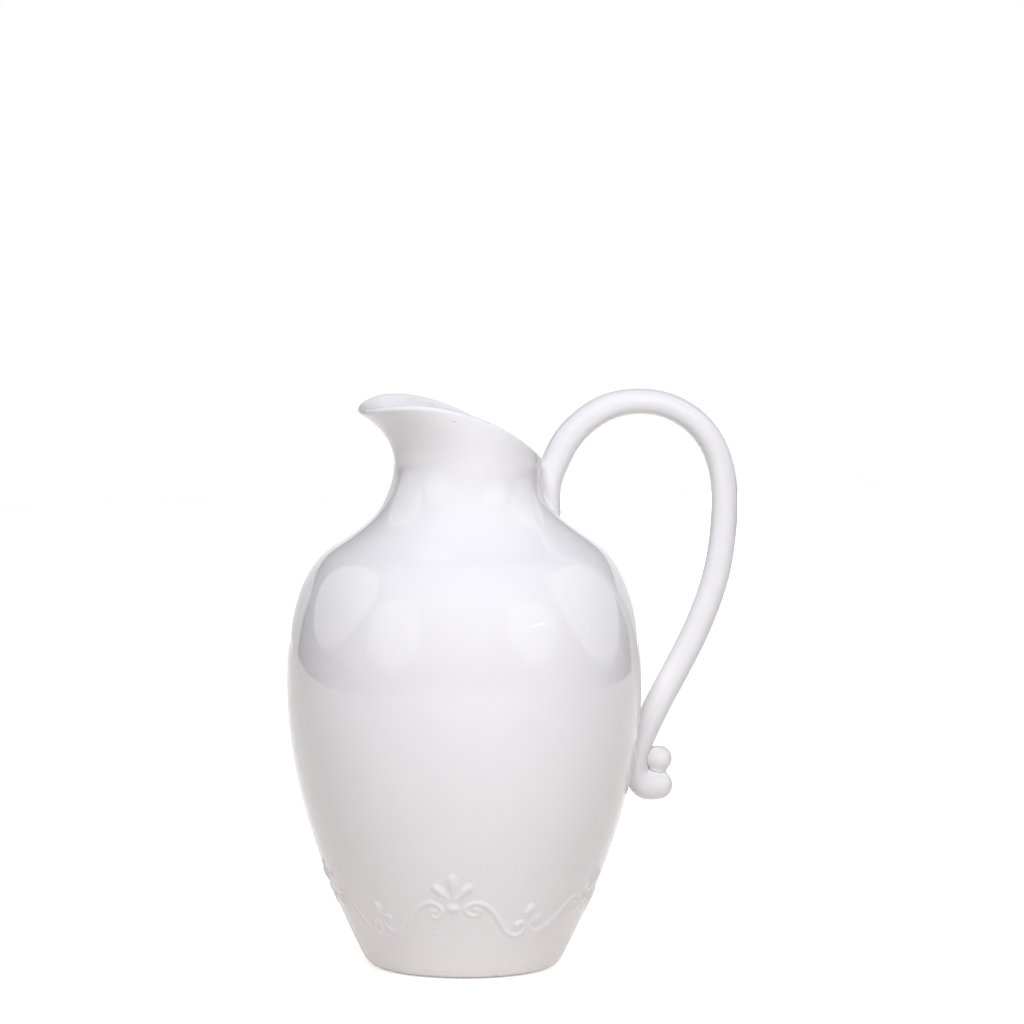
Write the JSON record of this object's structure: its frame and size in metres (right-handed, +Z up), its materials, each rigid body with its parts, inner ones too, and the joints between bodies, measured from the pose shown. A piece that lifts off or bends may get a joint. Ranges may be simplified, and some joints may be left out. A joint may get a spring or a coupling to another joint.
{
  "type": "porcelain jug",
  "caption": "White glazed porcelain jug with a slanted rim pulled into a pouring spout, a looped handle ending in a curl under a ball, and a low relief border.",
  "frame": {"origin": "on the table, under the middle of the jug's overall length and width; the axis of the round body stands 23.5 mm from it towards the spout", "axes": "+Z up along the axis of the body, +X towards the handle, -X towards the spout, +Y across the jug"},
  "size_m": [0.207, 0.16, 0.2601],
  "materials": {
    "body_glaze": "glossy clear glaze on white porcelain, bare on the foot ring",
    "handle_glaze": "glossy clear glaze on white porcelain",
    "relief_glaze": "glossy clear glaze on white porcelain, softening the relief"
  },
  "bodies": {
    "root": {"body": "body_glaze", "handle": "handle_glaze", "handle_ball": "handle_glaze", "palmette_1_petal_centre": "relief_glaze", "palmette_1_petal_left": "relief_glaze", "palmette_1_petal_right": "relief_glaze", "palmette_1_bead": "relief_glaze", "scroll_1_right": "relief_glaze", "scroll_1_left": "relief_glaze", "bud_1": "relief_glaze", "palmette_2_petal_centre": "relief_glaze", "palmette_2_petal_left": "relief_glaze", "palmette_2_petal_right": "relief_glaze", "palmette_2_bead": "relief_glaze", "scroll_2_right": "relief_glaze", "scroll_2_left": "relief_glaze", "bud_2": "relief_glaze", "palmette_3_petal_centre": "relief_glaze", "palmette_3_petal_left": "relief_glaze", "palmette_3_petal_right": "relief_glaze", "palmette_3_bead": "relief_glaze", "scroll_3_right": "relief_glaze", "scroll_3_left": "relief_glaze", "bud_3": "relief_glaze", "palmette_4_petal_centre": "relief_glaze", "palmette_4_petal_left": "relief_glaze", "palmette_4_petal_right": "relief_glaze", "palmette_4_bead": "relief_glaze", "scroll_4_right": "relief_glaze", "scroll_4_left": "relief_glaze", "bud_4": "relief_glaze", "palmette_5_petal_centre": "relief_glaze", "palmette_5_petal_left": "relief_glaze", "palmette_5_petal_right": "relief_glaze", "palmette_5_bead": "relief_glaze", "scroll_5_right": "relief_glaze", "scroll_5_left": "relief_glaze", "bud_5": "relief_glaze"}
  },
  "joints": []
}
